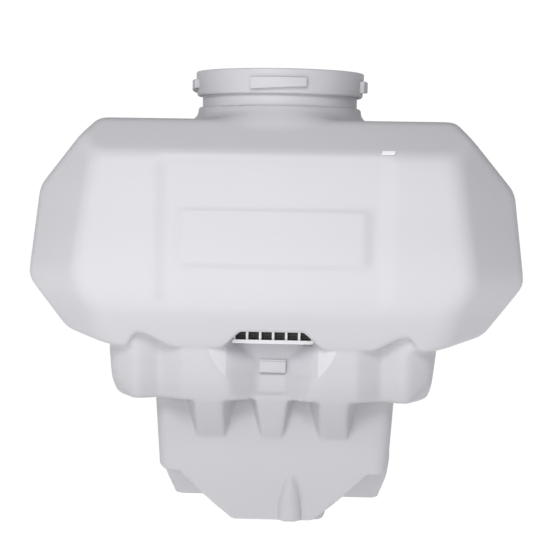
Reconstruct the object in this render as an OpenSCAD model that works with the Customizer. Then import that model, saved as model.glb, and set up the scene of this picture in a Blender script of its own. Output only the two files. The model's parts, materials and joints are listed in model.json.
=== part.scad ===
// Plug-in liquid tank with a bayonet filler neck, carrying grips, outlet check valve and level gauge.
// Millimetres. Front faces -Y, +Z is up, origin at the centre of the base.

/* [Upper lobe] */
// half width at the widest level
lobe_half_w = 235; // [200:0.5:300]
// half depth of the front and rear faces
lobe_half_d = 125; // [90:1:150]
// height of the flat top above the base
lobe_top = 385; // [340:1:430]
// height of the lobe's underside
lobe_bottom = 171; // [150:1:190]
// wall thickness of the blow-moulded shell
wall = 4; // [2.5:0.1:6]
// depth of the shallow centre panel on front and rear
panel_depth = 3; // [0:0.5:5]

/* [Middle step] */
// half width of the middle step at its top
mid_half_w = 160; // [140:1:190]
// half depth of the middle step
mid_half_d = 100; // [80:1:120]
// height of the ledge under the middle step
mid_bottom = 122; // [100:1:140]
// depth of the four upright grooves
groove_depth = 8; // [3:0.5:12]
// depth of the finger scoop at the ledge
scoop_depth = 20; // [10:1:30]

/* [Lower body] */
// half width of the lower body
low_half_w = 113; // [100:1:130]
// half depth of the lower body
low_half_d = 66; // [50:1:80]
// height of the hopper's bottom edge above the base
hopper_z = 3; // [1:0.5:8]

/* [Filler neck] */
// outer radius of the collar ring
collar_r = 83.35; // [70:0.05:95]
// radius of the groove under the collar
groove_r = 76.7; // [65:0.1:85]
// inner radius of the moulded neck
throat_r = 72; // [60:0.5:75]
// height of the collar's top face above the base
collar_top = 433; // [400:1:470]
// height of the collar ring
collar_h = 24; // [15:0.5:35]

/* [Outlet] */
// sideways place of the outlet axis
outlet_x = 16; // [0:1:30]
// front to back place of the outlet axis
outlet_y = -15; // [-30:1:10]
// radius of the socket bore that takes the probe
socket_r = 12.5; // [8:0.1:16]

/* [Level gauge] */
// radius of the gauge stem
stem_r = 4; // [3:0.1:6]
// radius of the float
float_r = 15; // [10:0.5:20]

/* [Hidden] */
$fn = 96;

hdpe = [0.86, 0.86, 0.89];
white = [0.93, 0.93, 0.94];
black = [0.09, 0.09, 0.10];
steel = [0.72, 0.73, 0.75];

big = 700;
gauge_x = -18;
gauge_y = 34;
collar_z0 = collar_top - collar_h;
shoulder_r = 81;
shoulder_z = lobe_top + 4.5;
seat_z = 10;

// ---------- outline helpers ----------
function unit(v) = v / norm(v);
function cross2(a, b) = a[0] * b[1] - a[1] * b[0];
function mirrored(p) = concat(p, [for (i = [len(p) - 1:-1:0]) [-p[i][0], p[i][1]]]);
// moves every edge of an anticlockwise outline inwards by t
function inset(p, t) = [for (i = [0:len(p) - 1]) let (
    n = len(p), a = p[(i + n - 1) % n], b = p[i], c = p[(i + 1) % n],
    u = unit(b - a), v = unit(c - b), m = [u[1], -u[0]], k = [v[1], -v[0]])
    b - t * (m + k) / (1 + m * k)];
// rounds every corner of an outline with radius r in k steps
function rounded(p, r, k = 3) = [for (i = [0:len(p) - 1]) let (
    n = len(p), a = p[(i + n - 1) % n], b = p[i], c = p[(i + 1) % n],
    u = unit(b - a), v = unit(c - b), turn = atan2(cross2(u, v), u * v),
    s = turn > 0 ? 1 : -1, d = r * tan(abs(turn) / 2), q = b - u * d,
    m = q + s * r * [-u[1], u[0]])
    for (j = [0:k]) let (w = turn * j / k, e = q - m)
        m + [e[0] * cos(w) - e[1] * sin(w), e[0] * sin(w) + e[1] * cos(w)]];

// an outline seen from the front (x, z), run along Y
module front_prism(p, y0, y1) translate([0, y1, 0]) rotate([90, 0, 0])
    linear_extrude(y1 - y0) polygon(p);
// an outline seen from the side (y, z), run along X
module side_prism(p, half) rotate([90, 0, 90]) linear_extrude(2 * half, center = true) polygon(p);
// everything beyond a tilted plane
module beyond(dist, yaw, tilt) rotate([0, tilt, yaw])
    translate([dist, -big, -big]) cube([big, 2 * big, 2 * big]);
module both_sides() { children(); mirror([1, 0, 0]) children(); }
module front_and_rear() { children(); mirror([0, 1, 0]) children(); }

// ---------- tank shell ----------
module lobe(t) {
    front = mirrored([[157, lobe_bottom], [198, 182], [lobe_half_w, 233], [224.5, 320],
        [166, lobe_top]]);
    side = mirrored([[101.5, lobe_bottom], [lobe_half_d, 212], [lobe_half_d, 351], [88, lobe_top]]);
    difference() {
        intersection() {
            front_prism(rounded(inset(front, t), 12), -lobe_half_d, lobe_half_d);
            side_prism(rounded(inset(side, t), 12), lobe_half_w);
        }
        both_sides() front_and_rear() beyond(242 - t, -45, -6.3);
    }
}

module middle(t) {
    outline = mirrored([[mid_half_w - 8.5, mid_bottom], [mid_half_w, 166], [mid_half_w, 184]]);
    plan = [[-127, -mid_half_d], [127, -mid_half_d], [mid_half_w, -66], [mid_half_w, 66],
        [127, mid_half_d], [-127, mid_half_d], [-mid_half_w, 66], [-mid_half_w, -66]];
    difference() {
        intersection() {
            front_prism(rounded(inset(outline, t), 9), -mid_half_d, mid_half_d);
            translate([0, 0, mid_bottom - 5]) linear_extrude(80) polygon(rounded(inset(plan, t), 12));
        }
        both_sides() front_and_rear() beyond(70 - t, -43, 30);
        both_sides() front_and_rear() upright_groove(t);
        front_and_rear() scoop(t);
    }
}

// upright groove in the middle step, closed by an arch in the lobe's lower slope
module upright_groove(t) {
    y0 = -mid_half_d + groove_depth + t;
    arch = [[-30, mid_bottom - 5], [30, mid_bottom - 5], [30, 167], [8, 180], [-6, 182], [-30, 169]];
    translate([106, 0, 0]) intersection() {
        front_prism(inset(arch, -t), -big, 0);
        linear_extrude(big) polygon(inset([[-29, y0 - 24], [29, y0 - 24], [4, y0 - t], [-4, y0 - t]], -t));
    }
}

// finger scoop under the lobe, deeper above its crease
module scoop(t) {
    y0 = -mid_half_d + scoop_depth;
    linear_extrude(165) polygon(inset([[-66, y0 - 35], [66, y0 - 35], [13, y0], [-13, y0]], -t));
    intersection() {
        side_prism(inset([[-140, 146], [y0, 146], [y0 + 4, 160], [-72, 173], [-62, 174], [-62, 200],
            [-140, 200]], -t), 90);
        linear_extrude(big) polygon(inset([[-66, -118], [66, -118], [38, -60], [-38, -60]], -t));
        front_prism(inset([[-50, 120], [50, 120], [62, 160], [62, 169], [52, 171], [41, 178],
            [33, 187.5], [-33, 187.5], [-41, 178], [-52, 171], [-62, 169], [-62, 160]], -t), -big, 0);
    }
}

module lower(t) {
    outline = inset(mirrored([[101, 0], [low_half_w + 1, 27], [low_half_w, 140]]), t);
    plan = inset([[-low_half_w - 2, -low_half_d], [low_half_w + 2, -low_half_d],
        [low_half_w + 2, low_half_d], [-low_half_w - 2, low_half_d]], t);
    hopper = [[36, -5], [36, hopper_z], [87, 47.5], [130, 47.5], [130, -5]];
    under = [[-80, -5], [46, -5], [46, 0], [0, 48], [-80, 48]];
    difference() {
        intersection() {
            front_prism(rounded(outline, 8), -low_half_d, low_half_d);
            translate([0, 0, -5]) linear_extrude(160) polygon(rounded(plan, 16));
        }
        // hopper slopes in front of the rear feet
        both_sides() intersection() {
            front_prism([for (p = hopper) p + [-t * 0.7, t * 0.9]], -big, big);
            side_prism([for (p = under) p + [t * 0.7, t * 0.7]], big);
        }
        // flat bottom of the hopper, and the gap between the feet
        translate([-big / 2, -big, -big + hopper_z + t]) cube([big, big + 46, big]);
        translate([-60 - t, 0, -5]) cube([120 + 2 * t, big, 5 + hopper_z + t]);
    }
}

// rib that carries the ledge, fading into the lower wall
module corbel(x, out) intersection() {
    translate([x, -low_half_d - out, mid_bottom]) rotate([atan2(out, 43), 0, 0])
        translate([0, 0, -80]) linear_extrude(120) polygon([[-9, 0], [9, 0], [39, 45], [-39, 45]]);
    translate([x - 60, -low_half_d - out, 60]) cube([120, out + 8, mid_bottom - 57]);
}

// half-round bulge in the front wall of the hopper, with a pointed top
module bulge(t = 0) translate([outlet_x, -low_half_d + 7 + t / 2, 0]) rotate_extrude()
    polygon([[0, hopper_z + t], [12.5 - t, hopper_z + t], [12.5 - t, 22], [11 - t, 32], [7 - t / 2, 43],
        [0, 52]]);

module outlet_boss(h) translate([outlet_x, outlet_y, 0]) linear_extrude(h)
    polygon(rounded([[-35, -37], [35, -37], [35, 33], [-35, 33]], 9));

module gauge_boss() translate([gauge_x, gauge_y, 0]) cylinder(r = 18, h = seat_z + 4);

module neck_body() rotate_extrude() polygon(concat([[0, lobe_top - 19], [107, lobe_top - 19]],
    [for (a = [0:15:90]) [shoulder_r + 12 - 12 * sin(a), lobe_top + 4 - 4 * cos(a)]],
    [[shoulder_r, shoulder_z + 6], [shoulder_r - 1, shoulder_z + 7.5], [shoulder_r - 3, shoulder_z + 8],
    [groove_r, shoulder_z + 8], [groove_r, collar_top - 6.5], [0, collar_top - 6.5]]));

// shallow centre panel with a raised band, cut into the front face
module face_panel() {
    y = -lobe_half_d;
    difference() {
        translate([0, 0, 205]) linear_extrude(200) polygon([[-116, y - 6], [116, y - 6], [116, y - 0.01],
            [103, y + panel_depth], [-103, y + panel_depth], [-116, y - 0.01]]);
        side_prism([[y + 6, 251], [y + 0.7, 255], [y + 0.7, 297], [y + 6, 302]], 88);
    }
}

module shell_outside() {
    difference() {
        union() {
            difference() {
                lobe(0);
                both_sides() front_and_rear() upright_groove(0);
                front_and_rear() scoop(0);
                front_and_rear() face_panel();
            }
            middle(0);
            lower(0);
            front_and_rear() { corbel(0, 24); both_sides() corbel(58, 33); }
            // catch block in the scoop
            front_and_rear() translate([-14, -mid_half_d + scoop_depth - 5, 146]) cube([28, 8, 11]);
            intersection() { bulge(); translate([-90, -90, 0]) cube([180, 60, 60]); }
            outlet_boss(20);
            gauge_boss();
            neck_body();
        }
        // pockets under the outlet and the gauge
        translate([outlet_x, outlet_y, -1]) cylinder(r = 29, h = seat_z + 1);
        translate([gauge_x, gauge_y, -1]) cylinder(r = 13, h = seat_z + 1);
    }
}

module shell_inside() {
    difference() {
        union() {
            difference() {
                lobe(wall);
                both_sides() front_and_rear() upright_groove(wall);
                front_and_rear() scoop(wall);
                front_and_rear() translate([0, panel_depth, 0]) face_panel();
            }
            middle(wall);
            lower(wall);
        }
        outlet_boss(seat_z + 4);
        gauge_boss();
    }
    translate([0, 0, lobe_top - 20]) cylinder(r = throat_r, h = 80);
    translate([outlet_x, outlet_y, 0]) cylinder(r = 16.3, h = 30);
    translate([gauge_x, gauge_y, 0]) cylinder(r = 6.2, h = 30);
    // seal groove in the neck's top face
    translate([0, 0, collar_top - 8]) difference() {
        cylinder(r = 76, h = 10);
        cylinder(r = 73, h = 10);
    }
}

module shell() difference() {
    shell_outside();
    shell_inside();
}

// the one-piece shell is stored in zones that meet face to face: levels, then walls within each level
base_cut = 50.6;
lower_cut = 117.3;
middle_cut = 178.4;
module slab(z0, z1) translate([-big, -big, z0]) cube([2 * big, 2 * big, z1 - z0]);
module neck_zone() translate([0, 0, lobe_top - 19]) cylinder(r = 107, h = 90);
module middle_zone() intersection() {
    slab(lower_cut, middle_cut);
    translate([-161.3, -big, 0]) cube([322.6, 2 * big, big]);
}
module lobe_zone() difference() {
    slab(lower_cut, 500);
    neck_zone();
    middle_zone();
}
module front_wall(y) translate([-big, -big, -1]) cube([2 * big, big - y, big]);
module right_wall(y) translate([0, -y, -1]) cube([big, 2 * y, big]);

module shell_neck() color(hdpe) intersection() { shell(); neck_zone(); }
module shell_lobe_front() color(hdpe) intersection() { shell(); lobe_zone(); front_wall(56.7); }
module shell_lobe_rear() color(hdpe) intersection() {
    shell();
    lobe_zone();
    mirror([0, 1, 0]) front_wall(56.7);
}
module shell_lobe_right() color(hdpe) intersection() { shell(); lobe_zone(); right_wall(56.7); }
module shell_lobe_left() mirror([1, 0, 0]) shell_lobe_right();
module shell_middle_front() color(hdpe) intersection() { shell(); middle_zone(); front_wall(55.3); }
module shell_middle_rear() mirror([0, 1, 0]) shell_middle_front();
module shell_middle_right() color(hdpe) intersection() { shell(); middle_zone(); right_wall(55.3); }
module shell_middle_left() mirror([1, 0, 0]) shell_middle_right();
module shell_lower_front() color(hdpe) intersection() { shell(); slab(-1, lower_cut); front_wall(52.4); }
module shell_lower_rear() color(hdpe) intersection() {
    shell();
    slab(-1, lower_cut);
    mirror([0, 1, 0]) front_wall(52.4);
}
module shell_lower_right() color(hdpe) intersection() {
    shell();
    slab(base_cut, lower_cut);
    right_wall(52.4);
}
module shell_lower_left() mirror([1, 0, 0]) shell_lower_right();
module shell_base() color(hdpe) intersection() {
    shell();
    translate([-big, -52.4, -1]) cube([2 * big, 104.8, base_cut + 1]);
}

// ---------- filler neck ----------
module neck_collar() color(white) {
    rotate_extrude() polygon([[groove_r + 0.05, collar_z0], [collar_r - 2, collar_z0],
        [collar_r, collar_z0 + 3], [collar_r, collar_top - 1.5], [collar_r - 1.5, collar_top],
        [76.2, collar_top], [76.2, collar_top - 2.6], [throat_r, collar_top - 2.6],
        [throat_r, collar_top - 6.4], [groove_r + 0.05, collar_top - 6.4]]);
    // bayonet ramps
    for (a = [0:90:270]) rotate([0, 0, a - 90]) intersection() {
        rotate([0, 0, -19.5]) rotate_extrude(angle = 39) polygon([[collar_r - 1, 410],
            [collar_r + 4, 411], [collar_r + 4, 424.5], [collar_r + 3, 425.5], [collar_r - 1, 425.5]]);
        rotate([4, 0, 0]) translate([60, -50, 413.5]) cube([50, 100, 30]);
    }
}

module collar_seal() color(black) translate([0, 0, collar_top - 7.2]) rotate_extrude()
    translate([74.5, 0]) circle(r = 0.78, $fn = 24);

module strainer_rim() color(white) {
    rotate_extrude() polygon([[62.4, 415], [70.5, 415], [70.5, collar_top - 2.5], [75.6, collar_top - 2.5],
        [75.6, collar_top - 0.5], [68, collar_top - 0.5], [68, 417], [62.4, 417]]);
    // lugs that hold the bail's ends
    both_sides() difference() {
        translate([65, -5, 415]) cube([4, 10, 13]);
        translate([60, 0, 423]) rotate([0, 90, 0]) cylinder(r = 1.65, h = 7.5, $fn = 24);
    }
}

module strainer_posts() color(white) for (a = [0:45:315]) rotate([0, 0, a + 22.5])
    translate([66.6, -2.5, 329]) cube([3.6, 5, 86]);

module strainer_base() color(white) difference() {
    translate([0, 0, 326]) cylinder(r = 70.2, h = 3);
    for (x = [-54:6:54]) let (y = sqrt(3600 - x * x)) translate([x - 1.2, -y, 320]) difference() {
        cube([2.4, 2 * y, 20]);
        translate([-1, y - 3, -1]) cube([5, 6, 22]);
    }
}

// flat screens between the posts
module strainer_mesh() color(steel) for (a = [0:45:315]) rotate([0, 0, a]) translate([62.5, -23.1, 329])
    difference() {
        cube([0.8, 46.2, 86]);
        for (z = [4:6:77]) translate([-1, 3.1, z]) cube([3, 40, 2.4]);
    }

module strainer_bail() color(steel) translate([0, 0, 423]) {
    rotate([-90, 0, 0]) rotate_extrude(angle = 180) translate([58, 0]) circle(r = 1.55, $fn = 24);
    both_sides() translate([56.5, 0, 0]) rotate([0, 90, 0]) cylinder(r = 1.57, h = 10.5, $fn = 24);
}

// ---------- grips ----------
module grip() color(white) {
    y = -62.2;
    pitch = 12.3;
    difference() {
        translate([-37.5, y - 16, 174.5]) cube([75, 16, 12.8]);
        for (i = [-3:2]) translate([(i + 0.5) * pitch - 5, y - 17, 178]) cube([10, 14.5, 7.8]);
        // slanted ends that follow the pocket
        both_sides() translate([41, y - 20, 177.6]) rotate([0, -40, 0]) cube([30, 30, 30]);
    }
    // lower rail
    translate([-38.5, y - 18, 174.5]) cube([77, 3, 3.5]);
}
module front_grip() grip();
module rear_grip() mirror([0, 1, 0]) grip();

// small blank plate on the front top slope
module mark_plate() color(white) translate([103.5, -lobe_half_d + 4.2, 354.85]) rotate([42.6, 0, 0])
    translate([0, 0, 0.03]) linear_extrude(0.6) polygon([[-6.5, -2.5], [5.3, -2.5], [6.5, 2.5], [-5.3, 2.5]]);

// ---------- outlet and check valve ----------
module at_outlet() translate([outlet_x, outlet_y, 0]) children();

module outlet_socket() color(black) at_outlet() difference() {
    union() {
        translate([0, 0, 4]) cylinder(r = 27, h = 4);
        translate([0, 0, 4]) cylinder(r = 16, h = 36);
    }
    translate([0, 0, 3]) cylinder(r = socket_r, h = 18);
    translate([0, 0, 20]) cylinder(r = 8, h = 10);
    translate([0, 0, 24]) cylinder(r = 13.5, h = 20);
    for (z = [8, 14]) translate([0, 0, z]) cylinder(r = 14.3, h = 2.6);
    // flats for the spanner on the flange rim
    for (a = [0:90:270]) rotate([0, 0, a]) translate([25, -30, 3]) cube([10, 60, 6]);
}

module outlet_gasket() color(black) at_outlet() translate([0, 0, 8]) difference() {
    cylinder(r = 24, h = 2);
    translate([0, 0, -1]) cylinder(r = 16.2, h = 4);
}

module outlet_nut() color(black) at_outlet() translate([0, 0, seat_z + 4]) difference() {
    union() {
        cylinder(r = 24, h = 8, $fn = 6);
        cylinder(r = 23.5, h = 2.5);
    }
    translate([0, 0, -1]) cylinder(r = 16.05, h = 12);
}

module probe_ring(z) color(black) at_outlet() translate([0, 0, z + 1.3]) rotate_extrude()
    translate([13.42, 0]) circle(r = 0.85, $fn = 24);
module probe_ring_low() probe_ring(8);
module probe_ring_high() probe_ring(14);

module valve_poppet() color(white) at_outlet() {
    translate([0, 0, 25.6]) cylinder(r = 12.9, h = 2.4);
    translate([0, 0, 28]) cylinder(r1 = 10.5, r2 = 4, h = 3);
    translate([0, 0, 28]) cylinder(r = 3, h = 17);
    translate([0, 0, 21.3]) cylinder(r = 3.2, h = 5);
    for (a = [0:120:240]) rotate([0, 0, a]) translate([0, -0.9, 21.3]) cube([7.6, 1.8, 5]);
}

module poppet_seal() color(black) at_outlet() translate([0, 0, 24.05]) difference() {
    cylinder(r = 10.6, h = 1.5);
    translate([0, 0, -1]) cylinder(r = 8.1, h = 4);
}

spring_z0 = 28;
spring_z1 = 38;
module valve_spring() color(steel) at_outlet() {
    coils = 4;
    n = coils * 16;
    // wire sections placed along a helix
    for (i = [0:n - 1]) let (a = i * 22.5, z = spring_z0 + 1.2 + (spring_z1 - spring_z0 - 2.4) * i / n,
        pitch = (spring_z1 - spring_z0 - 2.4) / n)
        rotate([0, 0, a]) translate([12.2, 0, z]) rotate([90 - atan2(pitch, 4.8), 0, 0])
            translate([0, 0, -2.7]) cylinder(r = 0.6, h = 5.4, $fn = 12);
}

module spring_retainer() color(white) at_outlet() translate([0, 0, spring_z1]) difference() {
    union() {
        cylinder(r = 13.45, h = 2.4);
        cylinder(r = 5, h = 4);
    }
    translate([0, 0, -1]) cylinder(r = 3.06, h = 8);
    for (a = [0:60:300]) rotate([0, 0, a]) translate([8.2, 0, -1]) cylinder(r = 2.3, h = 5, $fn = 32);
}

// ---------- level gauge ----------
module at_gauge() translate([gauge_x, gauge_y, 0]) children();

module gauge_stem() color(white) at_gauge() {
    translate([0, 0, 2]) cylinder(r = 6, h = 13);
    translate([0, 0, seat_z + 5.5]) cylinder(r = 11, h = 3.5);
    difference() {
        translate([0, 0, 15]) cylinder(r = stem_r, h = 285);
        translate([0, 0, 293]) difference() {
            cylinder(r = 10, h = 1.6);
            cylinder(r = stem_r - 0.8, h = 1.6);
        }
    }
}

module gauge_seal() color(black) at_gauge() translate([0, 0, seat_z + 4]) difference() {
    cylinder(r = 10.5, h = 1.5);
    translate([0, 0, -1]) cylinder(r = 6.1, h = 4);
}

module gauge_nut() color(black) at_gauge() translate([0, 0, seat_z - 6]) difference() {
    cylinder(r = 11, h = 6, $fn = 6);
    translate([0, 0, -1]) cylinder(r = 6.05, h = 8);
}

module gauge_float() color(black) at_gauge() translate([0, 0, 20]) difference() {
    rotate_extrude() polygon([[stem_r + 0.8, 0], [float_r - 3, 0], [float_r, 3], [float_r, 33],
        [float_r - 3, 36], [stem_r + 0.8, 36]]);
    translate([0, 0, 15]) cylinder(r = 9, h = 5);
}

module float_magnet() color(steel) at_gauge() translate([0, 0, 35.05]) difference() {
    cylinder(r = 8.95, h = 4.9);
    translate([0, 0, -1]) cylinder(r = stem_r + 0.9, h = 7);
}

module gauge_clip() color(steel) at_gauge() translate([0, 0, 293.2]) difference() {
    cylinder(r = 7, h = 1.2);
    translate([0, 0, -1]) cylinder(r = stem_r - 0.75, h = 4);
    translate([0, -1.8, -1]) cube([10, 3.6, 4]);
}

shell_neck();
shell_lobe_front();
shell_lobe_rear();
shell_lobe_left();
shell_lobe_right();
shell_middle_front();
shell_middle_rear();
shell_middle_left();
shell_middle_right();
shell_lower_front();
shell_lower_rear();
shell_lower_left();
shell_lower_right();
shell_base();
neck_collar();
collar_seal();
front_grip();
rear_grip();
mark_plate();
strainer_rim();
strainer_posts();
strainer_base();
strainer_mesh();
strainer_bail();
outlet_socket();
outlet_gasket();
outlet_nut();
probe_ring_low();
probe_ring_high();
valve_poppet();
poppet_seal();
valve_spring();
spring_retainer();
gauge_stem();
gauge_seal();
gauge_nut();
gauge_float();
float_magnet();
gauge_clip();
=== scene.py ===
"""Looks of the tank: one moulded skin, its neck collar, woven strainer screens and a coil spring,
with materials, floor, lights and camera. Shapes are in mm, the scene is in metres."""
import bpy, bmesh, json, math
import numpy as np
from mathutils import Vector, Matrix


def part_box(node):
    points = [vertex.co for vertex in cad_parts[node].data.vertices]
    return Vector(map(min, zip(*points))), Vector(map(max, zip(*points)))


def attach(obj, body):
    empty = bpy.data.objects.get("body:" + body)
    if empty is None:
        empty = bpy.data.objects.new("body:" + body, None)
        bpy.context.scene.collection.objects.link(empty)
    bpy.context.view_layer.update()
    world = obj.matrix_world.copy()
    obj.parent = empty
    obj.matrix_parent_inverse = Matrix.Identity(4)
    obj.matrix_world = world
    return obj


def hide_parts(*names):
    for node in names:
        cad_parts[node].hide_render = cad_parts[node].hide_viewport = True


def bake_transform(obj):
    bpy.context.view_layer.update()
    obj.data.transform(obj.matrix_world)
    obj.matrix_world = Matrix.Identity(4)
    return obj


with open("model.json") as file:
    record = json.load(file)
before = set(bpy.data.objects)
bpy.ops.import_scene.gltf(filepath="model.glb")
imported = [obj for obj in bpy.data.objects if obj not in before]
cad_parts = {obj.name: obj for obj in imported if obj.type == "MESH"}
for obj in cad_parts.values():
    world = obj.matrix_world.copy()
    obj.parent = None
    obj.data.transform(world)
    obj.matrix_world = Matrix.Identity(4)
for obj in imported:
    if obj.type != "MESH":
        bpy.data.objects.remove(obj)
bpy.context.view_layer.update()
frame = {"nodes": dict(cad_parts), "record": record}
NODES = frame["nodes"]
MM = 0.001
BODY = "tank"

# main sizes of the shell, in mm; half widths and half depths where the shape is symmetric
LOBE_FRONT, LOBE_TOP, LOBE_FLOOR = 125, 385, 171
MIDDLE_FRONT, MIDDLE_FLOOR, MIDDLE_TOP = 100, 122, 184
LOWER_FRONT, LOWER_TOP = 66, 150
SIDE_SHIFT = 1.3            # the middle sits this far left of the lobe, the lower part this far right
SHELL_WALL = 4
NOTCH_TOP = 188.3           # lower edge of the lobe over the grip
STUB_RADIUS, STUB_TOP = 79.9, 398.7
NECK_RADIUS, NECK_TOP = 75.9, 426.5
THROAT_RADIUS = 72
SKIN_CREASE = 42            # degrees; sharper edges of the skin stay sharp
# (x, y, radius, top) of the recess and the hole for the outlet, then for the level gauge
DRILLS = ((16, -15, 29, 10), (16, -15, 16.3, 30), (-18, 34, 13, 10), (-18, 34, 6.2, 30))
# (middle x, reach in front of the lower wall, half width) of the middle and the outer ledge ribs
CORBELS = ((0, 20, 14.4), (58.5, 33, 12.7))

# ---------------------------------------------------------------- shape of the moulded shell, in mm
# Each shape function returns a distance: negative inside the plastic's outer surface, positive outside.


def smax(a, b, k):
    """Larger of two distances, with the corner between them blended over k."""
    h = np.clip(0.5 + 0.5 * (a - b) / k, 0, 1)
    return a * h + b * (1 - h) + k * h * (1 - h)


def smin(a, b, k):
    """Smaller of two distances, blended over k."""
    return -smax(-a, -b, k)


def fillet(a, b, r):
    """Union of two distances with a round fillet of radius r."""
    return np.maximum(np.minimum(a, b), r) - np.hypot(np.maximum(r - a, 0), np.maximum(r - b, 0))


def line(u, v, p, q):
    """Distance from the line p to q in the (u, v) plane, positive on its right."""
    du, dv = q[0] - p[0], q[1] - p[1]
    return ((u - p[0]) * dv - (v - p[1]) * du) / math.hypot(du, dv)


def outline(u, v, points, k):
    """Convex outline through the points, its corners blended over k."""
    f = line(u, v, points[0], points[1])
    for p, q in zip(points[1:], points[2:]):
        f = smax(f, line(u, v, p, q), k)
    return f


def step(a, b, x):
    """0 below a, 1 above b, with a smooth rise between."""
    t = np.clip((x - a) / (b - a), 0, 1)
    return t * t * (3 - 2 * t)


def bump(x, a, b, soft):
    """1 between a and b, 0 outside, with soft ends."""
    return step(a - soft, a + soft, x) * (1 - step(b - soft, b + soft, x))


def tilted(ax, ay, z, yaw, tilt, dist):
    """Plane at dist from the origin whose normal is turned by yaw and leans down by tilt degrees."""
    yaw, tilt = math.radians(yaw), math.radians(tilt)
    c = math.cos(tilt)
    return ax * c * math.cos(yaw) + ay * c * math.sin(yaw) - z * math.sin(tilt) - dist


def groove_depth(ax):
    """Depth of the upright groove in the middle's front wall."""
    inner, outer, slope, depth = 81, 128, 0.53, 11.5
    rise = smin(smin((ax - inner) * slope, (outer - ax) * slope, 1), depth, 1)
    return smax(rise, 0, 1.2)


def notch_top(ax):
    """Height of the lobe's lower edge over the grip."""
    return smin(NOTCH_TOP, NOTCH_TOP - (ax - 29.5) * 0.93, 1.5)


def lobe(ax, ay, z):
    """Wide upper lobe, with its sunk front panel and the raised band in it."""
    panel = 3.6 * (1 - step(95, 112, ax)) * bump(z, 216, 347, 6)
    band = 3.0 * (1 - step(81, 93, ax)) * bump(z, 250, 302, 3)
    front = ay - LOBE_FRONT + panel - band
    side = smax(front, line(ay, z, (101.5, LOBE_FLOOR), (LOBE_FRONT, 212)), 5)
    side = smax(side, line(ay, z, (LOBE_FRONT, 351), (88, LOBE_TOP)), 8)
    ends = outline(ax, z, [(150, 172.2), (198, 184.5), (235.5, 233), (225, 320), (166, LOBE_TOP)], 5)
    f = smax(side, tilted(ax, ay, z, 45, -6.3, 242), 8)
    f = smax(f, 0.618 * (ax + ay) - 0.485 * z - 77, 10)
    f = smax(f, ends, 6)
    f = smax(f, z - LOBE_TOP, 5)
    f = smax(f, LOBE_FLOOR - z, 4)
    # arches over the grooves, and the notch over the grip
    arch = smin(168.5 + (ax - 91) * 0.6, 169 + (136.5 - ax) * 1.8, 3)
    arch = smin(arch, 185, 4)
    cut = smax(MIDDLE_FRONT - groove_depth(ax) - ay, z - arch, 4)
    f = smax(f, -cut, 5)
    f = smax(f, -smax(61 - ay, z - notch_top(ax), 2), 2.5)
    return f


def middle(ax, ay, z):
    """Middle section, with the finger scoop under the grip and a shallow dish around it."""
    over_lip = step(143.5, 147.5, z)
    up = np.clip((z - 158) / 15, 0, 1)
    floor_y = 84 - 7 * np.clip((z - 124) / 20, 0, 1) - 2 * over_lip - 4.5 * up
    floor_half = 13.2 + 18 * up
    mouth_half = 36.5 + 0.17 * (z - MIDDLE_FLOOR) + 1.5 * over_lip
    front = ay - MIDDLE_FRONT + groove_depth(ax)
    dish = np.sqrt(ax ** 2 + (z - 192) ** 2 + (ay - 236) ** 2) - 150
    front = smax(front, -dish, 0.8)
    f = smax(front, line(ax, z, (148.5, MIDDLE_FLOOR), (156.2, 158)), 7)
    f = smax(f, line(ax, ay, (157.2, 60), (153, 82)), 6)
    f = smax(f, line(ax, ay, (153, 82), (124, 101)), 8)
    f = smax(f, MIDDLE_FLOOR - z, 7)
    f = smax(f, tilted(ax, ay, z, 30, 35, 60), 3)
    f = smax(f, z - MIDDLE_TOP, 3)
    widening = (mouth_half - floor_half) * (ay - floor_y) / (MIDDLE_FRONT - floor_y)
    wall = (ax - floor_half - widening) * 0.6
    return smax(f, -smax(wall, floor_y - ay, 2.5), 3)


def corbel(x, ay, z, xc, out, half):
    """Sloped rib that carries the middle section's ledge."""
    top = LOWER_FRONT + out
    face = smax(line(ay, z, (67.5, 79), (top, MIDDLE_FLOOR)), line(ay, z, (62, 77), (72, 87)), 4)
    wall = (np.abs(x - xc) - half) * 0.88 + (ay - top) * 0.34 - (z - MIDDLE_FLOOR) * 0.26
    face = smax(face, ay - top + 0.6, 1)
    return smax(smax(face, wall, 2), smax(z - 127, 70 - z, 1), 1)


def lower(x, y, z):
    """Lower part: a hopper in front and two feet behind it."""
    ax, ay = np.abs(x), np.abs(y)
    flare = 6 * step(-20, 40, y) * (1 - step(40, 90, z))
    f = line(ax - flare, z, (110.3, 54), (115, MIDDLE_FLOOR))
    f = smax(f, line(ax, z, (103, 0), (114, 38)), 3)
    f = smax(f, ay - LOWER_FRONT, 16)
    f = smax(f, smax(-z, z - LOWER_TOP, 3), 4)
    slope = smax(line(ax, z, (37.5, 2), (70.5, 28.5)), line(ax, z, (70.5, 28.5), (90.5, 48.8)), 3)
    roof = 48.8 + 0.5 * np.maximum(ax - 104, 0)
    under = smax(z - roof, line(y, z, (46, 0), (0, 49)), 5)
    f = smax(f, -smax(-slope, under, 2), 3)
    # the underside is 3 mm off the ground except at the feet
    gap = smax(z - 3, np.where(y > 0, smin(y - 54, ax - 60, 1), y - 54), 1)
    return smax(f, -gap, 1)


def boss(x, y, z):
    """Square pad around the outlet, with round corners."""
    d = np.hypot(np.maximum(np.abs(x - 16) - 26, 0), np.maximum(np.abs(y + 17) - 26, 0))
    return smax(smax(d - 7.5 - 0.32 * np.clip(z, 0, 10), -z, 4), z - 20, 2)


def bulge(x, y, z):
    """Half-round bulge low in the hopper's front wall, with a pointed top."""
    r = 12.4 * np.sqrt(np.clip(1 - (np.maximum(z, 0) / 50) ** 2, 0.02, 1))
    return smax(smax((np.hypot(x - 18, y + 62) - r) * 0.8, 3 - z, 2), z - 49, 1)


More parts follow.
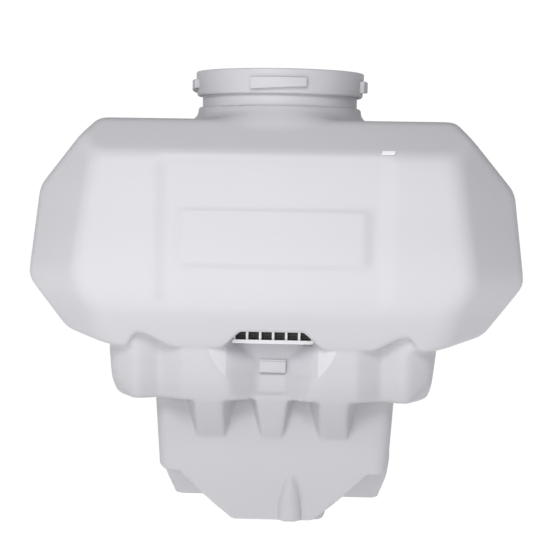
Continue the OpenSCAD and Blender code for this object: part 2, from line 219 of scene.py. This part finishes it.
def shell(x, y, z, stub=True):
    """Whole outer surface, with or without the stub that the neck stands on."""
    ax, ay = np.abs(x), np.abs(y)
    f = smin(lobe(ax, ay, z), middle(np.abs(x + SIDE_SHIFT), ay, z), 3)
    # pocket that holds the grip
    pocket = smax(smax(smax(ax - 38.5, 174 - z, 1.5), z - notch_top(ax), 1.5), 62 - ay, 1.5)
    f = smax(f, -pocket, 1.5)
    low = lower(x - SIDE_SHIFT, y, z)
    for xc, out, half in CORBELS:
        low = smin(low, corbel(ax if xc else x, ay, z, xc, out, half), 2)
    low = smin(low, bulge(x, y, z), 1)
    low = smin(low, boss(x, y, z), 2)
    # round pad of the level gauge
    low = smin(low, smax(np.hypot(x + 18, y - 34) - 18, smax(-z, z - 14, 1), 2), 1)
    f = smin(f, low, 3)
    if stub:
        neck = smax(np.hypot(x, y) - STUB_RADIUS, z - STUB_TOP, 2.4)
        f = fillet(f, smax(neck, 340 - z, 1), 11 + 12 * step(50, 86, ay))
        f = smax(f, z - STUB_TOP, 1)
    return f


def hollow(x, y, z):
    """Surface of the hollow inside."""
    return shell(x, y, z, stub=False) + SHELL_WALL


# ---------------------------------------------------------------- mesh helpers


def gradient(fn, p, e=0.05):
    """Slope of fn at the points p, by central differences of e."""
    g = np.empty_like(p)
    for i in range(3):
        d = np.zeros(3)
        d[i] = e
        a, b = p + d, p - d
        g[:, i] = (fn(a[:, 0], a[:, 1], a[:, 2]) - fn(b[:, 0], b[:, 1], b[:, 2])) / (2 * e)
    return g


def surface(fn, low, high, h, rounds=4):
    """Vertices and quads of the surface fn = 0: one vertex in each cell of pitch h that it crosses,
    then pulled onto it in rounds, by at most 0.6 of the pitch."""
    axes = [np.arange(a, b + h, h) for a, b in zip(low, high)]
    grid = np.meshgrid(*axes, indexing="ij")
    f = fn(*grid)
    n = np.array(f.shape)
    inside = f < 0
    cells = n - 1
    total = np.zeros(tuple(cells) + (3,))
    count = np.zeros(tuple(cells))
    quads = []
    for axis in range(3):
        lo = [slice(None)] * 3
        hi = [slice(None)] * 3
        lo[axis], hi[axis] = slice(0, -1), slice(1, None)
        fa, fb = f[tuple(lo)], f[tuple(hi)]
        i, j, k = np.nonzero(inside[tuple(lo)] != inside[tuple(hi)])
        t = fa[i, j, k] / (fa[i, j, k] - fb[i, j, k])
        at = np.stack([i, j, k], 1).astype(float)
        at[:, axis] += t
        u, v = [a for a in range(3) if a != axis]
        corners = []
        for du, dv in ((0, 0), (1, 0), (1, 1), (0, 1)):
            c = np.stack([i, j, k], 1)
            c[:, u] -= du
            c[:, v] -= dv
            np.add.at(total, tuple(c.T), at)
            np.add.at(count, tuple(c.T), 1)
            corners.append(np.ravel_multi_index(tuple(c.T), tuple(cells)))
        q = np.stack(corners, 1)
        out = inside[tuple(lo)][i, j, k] == (axis != 1)
        q[~out] = q[~out][:, ::-1]
        quads.append(q)
    used = np.nonzero(count.ravel() > 0)[0]
    pts = total.reshape(-1, 3)[used] / count.ravel()[used, None]
    pts = pts * h + np.array([a[0] for a in axes])
    remap = np.full(count.size, -1)
    remap[used] = np.arange(len(used))
    quads = remap[np.concatenate(quads)]
    home = pts.copy()
    for _ in range(rounds):
        g = gradient(fn, pts)
        d = fn(pts[:, 0], pts[:, 1], pts[:, 2])
        pts -= (d / np.maximum((g ** 2).sum(1), 0.3))[:, None] * g
        pts = home + np.clip(pts - home, -0.6 * h, 0.6 * h)
    return pts, quads


def mesh_object(name, pts, faces, scale=MM):
    """New object from an array of points and a list of faces."""
    mesh = bpy.data.meshes.new(name)
    mesh.from_pydata((pts * scale).tolist(), [], faces.tolist() if hasattr(faces, "tolist") else faces)
    mesh.update()
    obj = bpy.data.objects.new(name, mesh)
    bpy.context.scene.collection.objects.link(obj)
    return obj


def lathe(name, profile, steps=192, closed=True, centre=(0, 0)):
    """Solid turned about Z from (radius, height) points in mm, on the axis at both ends or a ring."""
    n = len(profile)
    ang = np.arange(steps) * 2 * math.pi / steps
    pts, faces, ids = [], [], []
    for r, z in profile:
        if r == 0:
            ids.append([len(pts)] * steps)
            pts.append((centre[0], centre[1], z))
        else:
            ids.append(list(range(len(pts), len(pts) + steps)))
            pts += [(centre[0] + r * math.cos(a), centre[1] + r * math.sin(a), z) for a in ang]
    for i in range(n if closed else n - 1):
        a, b = ids[i], ids[(i + 1) % n]
        if len(set(a)) == 1 and len(set(b)) == 1:
            continue
        for s in range(steps):
            t = (s + 1) % steps
            face = []
            for v in (a[s], a[t], b[t], b[s]):
                if v not in face:
                    face.append(v)
            faces.append(face)
    return mesh_object(name, np.array(pts), faces)


def rounded_profile(points, k=4):
    """Rounds each (x, y, r) corner of a closed profile."""
    out, n = [], len(points)
    for i, (x, y, r) in enumerate(points):
        if r <= 0:
            out.append((x, y))
            continue
        a, b, c = Vector(points[i - 1][:2]), Vector((x, y)), Vector(points[(i + 1) % n][:2])
        u, v = (b - a).normalized(), (c - b).normalized()
        turn = math.atan2(u.x * v.y - u.y * v.x, u.dot(v))
        q = b - u * r * math.tan(abs(turn) / 2)
        s = 1 if turn > 0 else -1
        m = q + s * r * Vector((-u.y, u.x))
        for j in range(k + 1):
            w = turn * j / k
            e = q - m
            out.append((m.x + e.x * math.cos(w) - e.y * math.sin(w),
                        m.y + e.x * math.sin(w) + e.y * math.cos(w)))
    return out


def combine(obj, other, how):
    """Boolean of obj with other, which is used up."""
    mod = obj.modifiers.new(how, "BOOLEAN")
    mod.operation, mod.object, mod.solver = how, other, "MANIFOLD"
    dg = bpy.context.evaluated_depsgraph_get()
    mesh = bpy.data.meshes.new_from_object(obj.evaluated_get(dg))
    obj.modifiers.clear()
    obj.data = mesh
    bpy.data.objects.remove(other)


def smooth(obj, degrees=35):
    """Smooth shading, except over edges sharper than the angle."""
    bm = bmesh.new()
    bm.from_mesh(obj.data)
    limit = math.radians(degrees)
    for e in bm.edges:
        e.smooth = not (len(e.link_faces) == 2 and e.calc_face_angle(0) > limit)
    for f in bm.faces:
        f.smooth = True
    bm.to_mesh(obj.data)
    bm.free()


def tidy_normals(obj):
    """Turns every face outwards."""
    bm = bmesh.new()
    bm.from_mesh(obj.data)
    bmesh.ops.recalc_face_normals(bm, faces=bm.faces)
    bm.to_mesh(obj.data)
    bm.free()


def round_edges(obj, width, segments=2, degrees=40):
    """Bevel modifier on the edges sharper than the angle."""
    mod = obj.modifiers.new("round", "BEVEL")
    mod.width, mod.segments, mod.limit_method = width * MM, segments, "ANGLE"
    mod.angle_limit = math.radians(degrees)


def block(name, xs, ys, zs, radius):
    """Box between two x, two y and two z, with rounded edges."""
    pts = np.array([(x, y, z) for x in xs for y in ys for z in zs], float)
    faces = [[0, 1, 3, 2], [4, 6, 7, 5], [0, 4, 5, 1], [2, 3, 7, 6], [0, 2, 6, 4], [1, 5, 7, 3]]
    obj = mesh_object(name, pts, faces)
    tidy_normals(obj)
    round_edges(obj, radius, 3)
    return obj


def place(obj, nodes, body=BODY):
    """Puts a new piece on its body in place of the CAD nodes."""
    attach(obj, body)
    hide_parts(*nodes)


# ---------------------------------------------------------------- tank skin
outer_pitch = 3.0
cavity_pitch = 6.0
pts, quads = surface(shell, (-240, -130, -4), (240, 130, 404), outer_pitch)
skin = mesh_object("tank_skin", pts, quads)
pts, quads = surface(hollow, (-240, -130, 0), (240, 130, 390), cavity_pitch)
cavity = mesh_object("cavity", pts, quads)

neck_lip = 0.6
neck = lathe("neck", [(0, 392), (NECK_RADIUS, 392), (NECK_RADIUS, NECK_TOP - neck_lip),
                      (NECK_RADIUS - neck_lip, NECK_TOP), (0, NECK_TOP)], closed=False)
combine(skin, neck, "UNION")
combine(skin, cavity, "DIFFERENCE")
throat = lathe("throat", [(0, 370), (THROAT_RADIUS, 370), (THROAT_RADIUS, 430), (0, 430)], closed=False)
combine(skin, throat, "DIFFERENCE")
for x, y, radius, top in DRILLS:
    drill = lathe("drill", [(0, -6), (radius, -6), (radius, top), (0, top)], 64, closed=False, centre=(x, y))
    combine(skin, drill, "DIFFERENCE")

# small catch with a lip over it in each finger scoop
for side in (-1, 1):
    catch = block("catch", (-12.7, 12.7), (72, 80.5), (147, 158), 1.1)
    lip = block("lip", (-12.7, 12.7), (70, 79.5), (157.6, 159.6), 0.7)
    if side < 0:
        for o in (catch, lip):
            o.data.transform(Matrix.Diagonal((-1, -1, 1, 1)))
    combine(skin, catch, "UNION")
    combine(skin, lip, "UNION")
smooth(skin, SKIN_CREASE)
place(skin, sorted(n for n in NODES if n.startswith("shell_")))

# ---------------------------------------------------------------- neck collar with its four ramps
collar = lathe("neck_collar_ring", rounded_profile(
    [(75.95, 409.2, 0.5), (81.2, 409.2, 2.6), (82.6, 433, 1.6), (76.2, 433, 0.8), (76.2, 430.4, 0.2),
     (72, 430.4, 0.6), (72, 426.6, 0.3), (75.95, 426.6, 0)]))
ramp_steps, ramp_root, ramp_edge, ramp_low, ramp_high = 24, 80, 86.2, 413.2, 425
ramp_half, ramp_span, ramp_rise, ramp_offset = 18.3, 36.6, 3, 0.9
for quarter in range(4):
    pts = []
    for i in range(ramp_steps + 1):
        t = i / ramp_steps
        a = math.radians(quarter * 90 + ramp_offset - ramp_half + ramp_span * t)
        under = ramp_low + ramp_rise * t
        for r, z in ((ramp_root, under), (ramp_edge, under), (ramp_edge, ramp_high), (ramp_root, ramp_high)):
            pts.append((r * math.cos(a), r * math.sin(a), z))
    faces = [[4 * i + j, 4 * i + 4 + j, 4 * i + 4 + (j + 1) % 4, 4 * i + (j + 1) % 4]
             for i in range(ramp_steps) for j in range(4)]
    faces += [[0, 1, 2, 3], [4 * ramp_steps + j for j in (3, 2, 1, 0)]]
    ramp = mesh_object("ramp", np.array(pts), faces)
    tidy_normals(ramp)
    round_edges(ramp, 1.0, 3)
    combine(collar, ramp, "UNION")
smooth(collar)
place(collar, ["neck_collar"])

# ---------------------------------------------------------------- woven strainer screens
PITCH, WIRE = 3.2, 0.28             # of the weave; the wires are square, WIRE is half their side
SCREEN_HALF_W, SCREEN_HALF_H = 22.4, 42.5
SCREEN_RADIUS, SCREEN_Z = 62.9, 372


def thread(pts, faces, length, offset, upright, phase, turn):
    """Adds one wire of a screen, weaving over and under at each crossing."""
    n = int(round(2 * length / PITCH)) * 2
    base = len(pts)
    c, s = math.cos(turn), math.sin(turn)
    for i in range(n + 1):
        along = -length + 2 * length * i / n
        lift = WIRE * math.cos(math.pi * (i / 2 + phase))
        for u, v in ((-WIRE, -WIRE), (WIRE, -WIRE), (WIRE, WIRE), (-WIRE, WIRE)):
            across, out = offset + u, SCREEN_RADIUS + lift + v
            w, h = (across, along) if upright else (along, across)
            pts.append((out * c - w * s, out * s + w * c, SCREEN_Z + h))
    for i in range(n):
        for j in range(4):
            k, m = base + 4 * i, (j + 1) % 4
            faces.append([k + j, k + m, k + 4 + m, k + 4 + j])
    faces.append([base + j for j in (3, 2, 1, 0)])
    faces.append([base + 4 * n + j for j in range(4)])


pts, faces = [], []
for panel in range(8):
    turn = math.radians(45 * panel)
    for k in range(-6, 7):
        thread(pts, faces, SCREEN_HALF_H, k * PITCH, True, k % 2, turn)
    for k in range(-13, 14):
        thread(pts, faces, SCREEN_HALF_W, k * PITCH, False, (k + 1) % 2, turn)
screens = mesh_object("strainer_screens", np.array(pts), faces)
tidy_normals(screens)
smooth(screens, 60)
place(screens, ["strainer_mesh"], "strainer")

# ---------------------------------------------------------------- outlet valve spring
spring_low, spring_high = [[c * 1000 for c in corner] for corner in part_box("valve_spring")]
cx, cy = (spring_low[0] + spring_high[0]) / 2, (spring_low[1] + spring_high[1]) / 2
WIRE_R, COIL_R, COILS, PER_TURN, SIDES = 0.6, 12.2, 5, 40, 10
rise = spring_high[2] - spring_low[2] - 2 * WIRE_R
pts, faces = [], []
for i in range(COILS * PER_TURN + 1):
    t = i / (COILS * PER_TURN)
    # the first and last turn lie almost flat
    up = float(np.interp(t, (0, 0.17, 0.83, 1), (0, 0.06, 0.94, 1)))
    a = 2 * math.pi * COILS * t
    for j in range(SIDES):
        b = 2 * math.pi * j / SIDES
        r = COIL_R + WIRE_R * math.cos(b)
        pts.append((cx + r * math.cos(a), cy + r * math.sin(a),
                    spring_low[2] + WIRE_R + rise * up + WIRE_R * math.sin(b)))
for i in range(COILS * PER_TURN):
    for j in range(SIDES):
        k, m = SIDES * i, (j + 1) % SIDES
        faces.append([k + j, k + m, k + SIDES + m, k + SIDES + j])
faces += [list(range(SIDES - 1, -1, -1)), [SIDES * COILS * PER_TURN + j for j in range(SIDES)]]
spring = mesh_object("poppet_spring", np.array(pts), faces)
tidy_normals(spring)
smooth(spring, 60)
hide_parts("valve_spring")
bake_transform(spring)

# ---------------------------------------------------------------- materials
# Heights and sizes inside the materials are in metres, as the object coordinates are.
# painted light and shade on the moulded plastic, by height
PAINTED_LIGHT_SPAN, PAINTED_LIGHT_MAX = 0.5, 1.3      # top height and largest factor of the tone ramp
# (height, factor) of the painted light and shade on the moulded plastic, lighter or darker by height as the
# light falls; the two ends come first
HDPE_PAINTED_LIGHT = [(0.0, 1.03), (0.433, 1.0), (0.06, 1.03), (0.10, 0.95), (0.125, 0.97), (0.15, 1.05),
              (0.19, 1.1), (0.23, 1.16), (0.30, 1.08), (0.36, 1.02)]
# painted highlight on the dish beside the finger scoop: its centre height, radius and how much lighter it is
DISH_CENTRE_Z, DISH_RADIUS, DISH_HIGHLIGHT_GAIN = 0.192, 0.0635, 0.15
# limits of the dish's visible part, on the size of each coordinate
DISH_LIMITS = (("GREATER_THAN", "X", 0.043), ("GREATER_THAN", "Y", 0.09), ("LESS_THAN", "Z", 0.171))
# painted shade behind the grip bars: the box where it lies, and its dark and light slat colours
POCKET_BOX = (("X", -0.0372, 0.0372), ("Y", -0.0772, 0.0772), ("Z", 0.1779, 0.1859))
POCKET_DARK, POCKET_LIGHT = (0.04, 0.038, 0.03, 1), (0.13, 0.125, 0.105, 1)
RIDGE_HALF, RIDGE_FLAT = 0.0011, 0.0002
SKIN_TONE = (0.496, 0.496, 0.524)


def feed(nt, node, inputs):
    """Sets each input of a node to its value, or links it where the value is a socket."""
    for name, value in inputs.items():
        if isinstance(value, bpy.types.NodeSocket):
            nt.links.new(value, node.inputs[name])
        else:
            node.inputs[name].default_value = value


def new_node(nt, kind, inputs, **settings):
    node = nt.nodes.new("ShaderNode" + kind)
    for key, value in settings.items():
        setattr(node, key, value)
    feed(nt, node, inputs)
    return node


def maths(nt, op, *values):
    return new_node(nt, "Math", dict(enumerate(values)), operation=op).outputs[0]


def vector(nt, op, inputs):
    node = new_node(nt, "VectorMath", inputs, operation=op)
    return node.outputs["Value" if op == "LENGTH" else "Vector"]


def mix_colour(nt, factor, a, b):
    return new_node(nt, "Mix", {"Factor": factor, 6: a, 7: b}, data_type="RGBA").outputs[2]


def painted_light_by_height(nt, tint, z, painted_light_stops):
    """Painted light and shade: tint times a factor that follows the height, lighter or darker as the light
    falls.
    """
    share = new_node(nt, "MapRange", {"Value": z, "From Min": 0, "From Max": PAINTED_LIGHT_SPAN})
    wall = new_node(nt, "ValToRGB", {"Fac": share.outputs["Result"]})
    ramp = wall.color_ramp
    ramp.interpolation = "EASE"
    for i, (height, factor) in enumerate(painted_light_stops):
        stop = ramp.elements[i] if i < 2 else ramp.elements.new(height / PAINTED_LIGHT_SPAN)
        grey = factor / PAINTED_LIGHT_MAX
        stop.position, stop.color = height / PAINTED_LIGHT_SPAN, (grey, grey, grey, 1)
    light_factor = vector(nt, "SCALE", {0: wall.outputs["Color"], "Scale": PAINTED_LIGHT_MAX})
    return vector(nt, "MULTIPLY", {0: light_factor, 1: tint})


def painted_highlight_in_dish(nt, tint, sep):
    """Painted highlight: a lighter tint on the shallow dish beside the finger scoop."""
    up = maths(nt, "SUBTRACT", sep.outputs["Z"], DISH_CENTRE_Z)
    bent = new_node(nt, "CombineXYZ", {"X": sep.outputs["X"], "Z": up})
    mask = maths(nt, "LESS_THAN", vector(nt, "LENGTH", {0: bent.outputs[0]}), DISH_RADIUS)
    for op, axis, edge in DISH_LIMITS:
        test = maths(nt, op, maths(nt, "ABSOLUTE", sep.outputs[axis]), edge)
        mask = maths(nt, "MULTIPLY", mask, test)
    gain = maths(nt, "ADD", maths(nt, "MULTIPLY", mask, DISH_HIGHLIGHT_GAIN), 1.0)
    return vector(nt, "SCALE", {0: tint, "Scale": gain})


def shade_in_pocket(nt, tint, sep, coords):
    """Painted shade, nearly black with fine slats, on the grip's back wall behind its bars."""
    mask = None
    for axis, start, end in POCKET_BOX:
        for op, edge in (("GREATER_THAN", start), ("LESS_THAN", end)):
            test = maths(nt, op, sep.outputs[axis], edge)
            mask = maths(nt, "MULTIPLY", mask, test) if mask else test
    slats = new_node(nt, "TexWave", {"Scale": 110, "Vector": coords}, bands_direction="Z")
    return mix_colour(nt, mask, tint, mix_colour(nt, slats.outputs["Fac"], POCKET_DARK, POCKET_LIGHT))


def material(name, base, rough=0.45, spec=0.5, metal=0.0, grain=900, grain_h=0.00002, mottle=0.03,
             painted_light_stops=None, ridge=0.0, pocket=False):
    """Plastic, rubber or metal with a mottled tint, an uneven roughness and a fine grain; the moulded
    plastic also gets painted light and shade by height and a painted highlight on the dish, the grip painted
    shade behind its bars.
    """
    mat = bpy.data.materials.new(name)
    mat.use_nodes = True
    nt = mat.node_tree
    coords = new_node(nt, "TexCoord", {}).outputs["Object"]
    sep = new_node(nt, "SeparateXYZ", {0: coords})
    big = new_node(nt, "TexNoise", {"Scale": 14, "Detail": 4, "Vector": coords}).outputs["Fac"]
    fine = new_node(nt, "TexNoise", {"Scale": grain, "Detail": 2, "Vector": coords}).outputs["Fac"]
    mottling = maths(nt, "ADD", maths(nt, "MULTIPLY", big, 0.6), maths(nt, "MULTIPLY", fine, 0.4))
    tint = mix_colour(nt, mottling, (*[c * (1 - mottle) for c in base], 1),
                      (*[min(1, c * (1 + mottle)) for c in base], 1))
    # painted light and shade by height
    if painted_light_stops:
        tint = painted_light_by_height(nt, tint, sep.outputs["Z"], painted_light_stops)
        # painted highlight on the dish beside the finger scoop
        tint = painted_highlight_in_dish(nt, tint, sep)
    if pocket:
        # painted shade behind the grip bars
        tint = shade_in_pocket(nt, tint, sep, coords)
    roughness = new_node(nt, "MapRange", {"To Min": rough - 0.06, "To Max": rough + 0.06, "Value": fine})
    height = fine
    if ridge:
        # parting line of the mould, along the middle plane
        near = new_node(nt, "MapRange", {"From Min": RIDGE_HALF, "From Max": RIDGE_FLAT,
                                         "To Max": ridge / grain_h,
                                         "Value": maths(nt, "ABSOLUTE", sep.outputs["Y"])})
        height = maths(nt, "ADD", height, near.outputs["Result"])
    bump_map = new_node(nt, "Bump", {"Distance": grain_h, "Strength": 1.0, "Height": height})
    feed(nt, nt.nodes["Principled BSDF"], {
        "Base Color": tint, "Roughness": roughness.outputs["Result"], "Normal": bump_map.outputs["Normal"],
        "Metallic": metal, "Specular IOR Level": spec})
    return mat


MATS = {
    # the moulded plastic carries painted light and shade by height and a painted highlight on the dish
    "hdpe": material("moulded_hdpe", SKIN_TONE, 0.5, 0.35, grain=700, grain_h=0.00003,
                     painted_light_stops=HDPE_PAINTED_LIGHT, ridge=0.00025),
    "white_plastic": material("white_plastic", (0.82, 0.82, 0.84), 0.42, 0.45),
    # the grip's tint is lighter than white_plastic's as painted light against the shade it sits in under the
    # lobe; it also carries the painted shade behind its bars
    "grip": material("grip_plastic_painted_light_and_shade", (0.93, 0.93, 0.95), 0.42, 0.45, pocket=True),
    "white_film": material("white_film", (0.9, 0.9, 0.92), 0.3, 0.5),
    "black_plastic": material("black_plastic", (0.03, 0.03, 0.032), 0.5, 0.45),
    "rubber": material("rubber", (0.025, 0.025, 0.027), 0.7, 0.3),
    "steel": material("steel", (0.62, 0.63, 0.65), 0.3, 0.5, metal=1.0),
    "steel_mesh": material("steel_mesh", (0.55, 0.56, 0.58), 0.35, 0.5, metal=1.0),
    "magnet": material("magnet", (0.28, 0.28, 0.30), 0.4, 0.5, metal=0.8),
}
SLOTS = {s["node"]: s["material_slot"] for s in frame["record"]["subparts"]}
for name, obj in NODES.items():
    obj.data.materials.clear()
    obj.data.materials.append(MATS[SLOTS[name]])
for name in ("front_grip", "rear_grip"):
    NODES[name].data.materials[0] = MATS["grip"]
for piece, slot in ((skin, "hdpe"), (collar, "hdpe"), (screens, "steel_mesh"), (spring, "steel")):
    piece.data.materials.clear()
    piece.data.materials.append(MATS[slot])

# widths of the rounded edges of the CAD pieces, in mm
EDGE_WIDTHS = {"front_grip": 0.5, "rear_grip": 0.5, "outlet_socket": 0.3, "outlet_nut": 0.4,
               "strainer_rim": 0.35, "strainer_posts": 0.4, "strainer_base": 0.3, "gauge_nut": 0.4,
               "gauge_clip": 0.3, "spring_retainer": 0.25, "valve_poppet": 0.3, "gauge_float": 0.5,
               "mark_plate": 0.05}
for name, width in EDGE_WIDTHS.items():
    round_edges(NODES[name], width)

# ---------------------------------------------------------------- floor, light and camera
FLOOR_HALF = 60                     # metres, so that its edge is never near
floor_mat = bpy.data.materials.new("floor")
floor_mat.use_nodes = True
feed(floor_mat.node_tree, floor_mat.node_tree.nodes["Principled BSDF"], {
    "Base Color": (0.05, 0.05, 0.05, 1), "Roughness": 0.9, "Specular IOR Level": 0.0,
    "Emission Color": (1, 1, 1, 1), "Emission Strength": 1.0})
floor = mesh_object("floor", FLOOR_HALF * np.array([(-1, -1, 0), (1, -1, 0), (1, 1, 0), (-1, 1, 0)]),
                    [(0, 1, 2, 3)], 1.0)
floor.data.materials.append(floor_mat)

# white backdrop low behind the object, a dim sky everywhere else
SKY, BACKDROP = 0.24, 1.02
world = bpy.data.worlds.new("studio")
bpy.context.scene.world = world
world.use_nodes = True
wn = world.node_tree
sep = new_node(wn, "SeparateXYZ", {0: new_node(wn, "TexCoord", {}).outputs["Generated"]})
shares = [new_node(wn, "MapRange", {"From Min": start, "From Max": end, "Value": sep.outputs[axis]})
          for axis, start, end in (("Y", 0.55, 0.85), ("Z", 0.6, 0.3))]
behind = maths(wn, "MULTIPLY", *[s.outputs["Result"] for s in shares])
strength = new_node(wn, "MapRange", {"To Min": SKY, "To Max": BACKDROP, "Value": behind})
feed(wn, wn.nodes["Background"], {"Strength": strength.outputs["Result"], "Color": (1, 1, 1, 1)})

LIGHT_AIM = Vector((0, 0, 0.25))


def area_light(name, place_at, size, power):
    """Rectangular lamp aimed at the object's middle."""
    data = bpy.data.lights.new(name, "AREA")
    data.shape, data.size, data.size_y, data.energy = "RECTANGLE", size[0], size[1], power
    obj = bpy.data.objects.new(name, data)
    bpy.context.scene.collection.objects.link(obj)
    obj.location = place_at
    obj.rotation_euler = (LIGHT_AIM - Vector(place_at)).to_track_quat("-Z", "Y").to_euler()


area_light("key", (-0.16, -1.0, 0.85), (0.5, 0.4), 6.5)
area_light("low_left", (-0.9, -1.2, 0.1), (0.5, 0.4), 2.4)
area_light("centre", (-0.05, -0.95, 0.3), (0.3, 0.25), 1.2)

CAM_AZ, CAM_DIST, CAM_Z = math.radians(2.04), 1.4712, 0.3396
CAM_PITCH, CAM_YAW, CAM_ROLL = math.radians(-3.785), math.radians(0.414), math.radians(0.903)
cam_data = bpy.data.cameras.new("camera")
cam_data.sensor_width = 36
cam_data.lens = 100.2
cam = bpy.data.objects.new("camera", cam_data)
bpy.context.scene.collection.objects.link(cam)
cam.location = (CAM_DIST * math.sin(CAM_AZ), -CAM_DIST * math.cos(CAM_AZ), CAM_Z)
cam.matrix_world = (Matrix.Translation(cam.location)
                    @ Matrix.Rotation(CAM_AZ + CAM_YAW, 4, "Z")
                    @ Matrix.Rotation(math.pi / 2 + CAM_PITCH, 4, "X")
                    @ Matrix.Rotation(CAM_ROLL, 4, "Z"))
bpy.context.scene.camera = cam
bpy.context.scene.view_settings.view_transform = "Standard"
